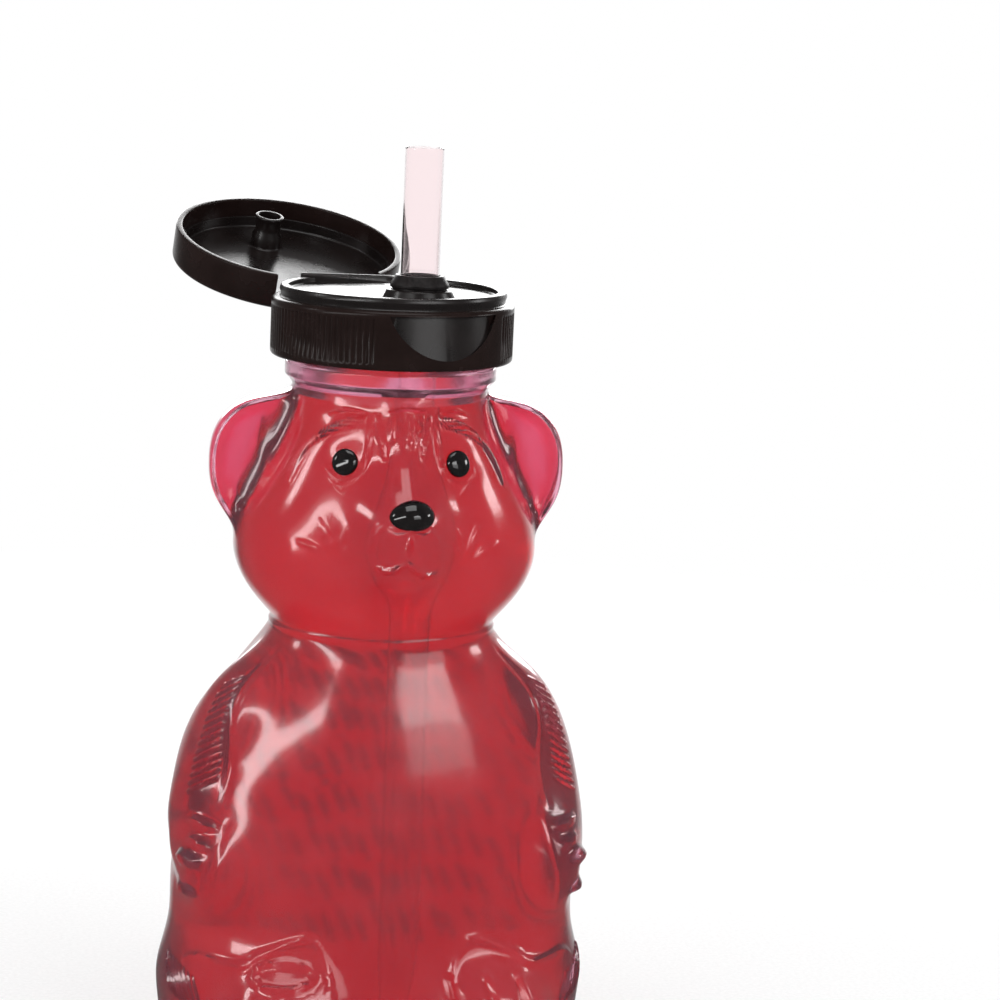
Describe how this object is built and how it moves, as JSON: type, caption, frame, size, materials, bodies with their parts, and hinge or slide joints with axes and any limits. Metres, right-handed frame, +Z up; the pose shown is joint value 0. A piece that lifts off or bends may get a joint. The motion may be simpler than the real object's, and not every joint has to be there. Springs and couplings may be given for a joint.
{
  "type": "honey bear straw cup",
  "caption": "Squeezable bear-shaped drinking bottle with a threaded flip-top cap, a hinged lid with a plug post, and a straw that slides through a soft seal.",
  "frame": {"origin": "middle of the bottle's flat base, on its axis", "axes": "+Z up along the bottle's axis, the bear faces -Y, its left side is +X"},
  "size_m": [0.0746, 0.0922, 0.169],
  "materials": {
    "bottle": "translucent soft polyethylene, moulded",
    "paint": "gloss black enamel",
    "liner": "white polyethylene foam",
    "cap": "gloss black polypropylene",
    "seal": "black elastomer, satin",
    "straw": "clear polypropylene tube"
  },
  "bodies": {
    "bottle": {"bear_bottle": "bottle", "left_eye": "paint", "right_eye": "paint", "nose": "paint"},
    "liner": {"cap_liner": "liner"},
    "cap": {"screw_cap": "cap", "straw_seal": "seal"},
    "lid": {"flip_lid": "cap"},
    "straw": {"straw": "straw"}
  },
  "joints": [
    {"name": "cap_lift", "type": "slide", "parent": "bottle", "child": "liner", "axis": [0, 0, 1], "range_m": [0, 0.00423]},
    {"name": "cap_turn", "type": "hinge", "parent": "liner", "child": "cap", "pos_m": [0, 0, 0.143], "axis": [0, 0, 1], "range_deg": [0, 360]},
    {"name": "lid_hinge", "type": "hinge", "parent": "cap", "child": "lid", "pos_m": [-0.00708, 0.01998, 0.1434], "axis": [0.9426, 0.3338, 0], "range_deg": [0, 164]},
    {"name": "straw_slide", "type": "slide", "parent": "cap", "child": "straw", "axis": [0, 0, 1], "range_m": [-0.02205, 0]}
  ],
  "couplings": [
    {"joint": "cap_lift", "follows": "cap_turn", "m_per_rad": 0.00067376},
    {"joint": "straw_slide", "follows": "lid_hinge", "m_per_rad": -0.0076861}
  ]
}
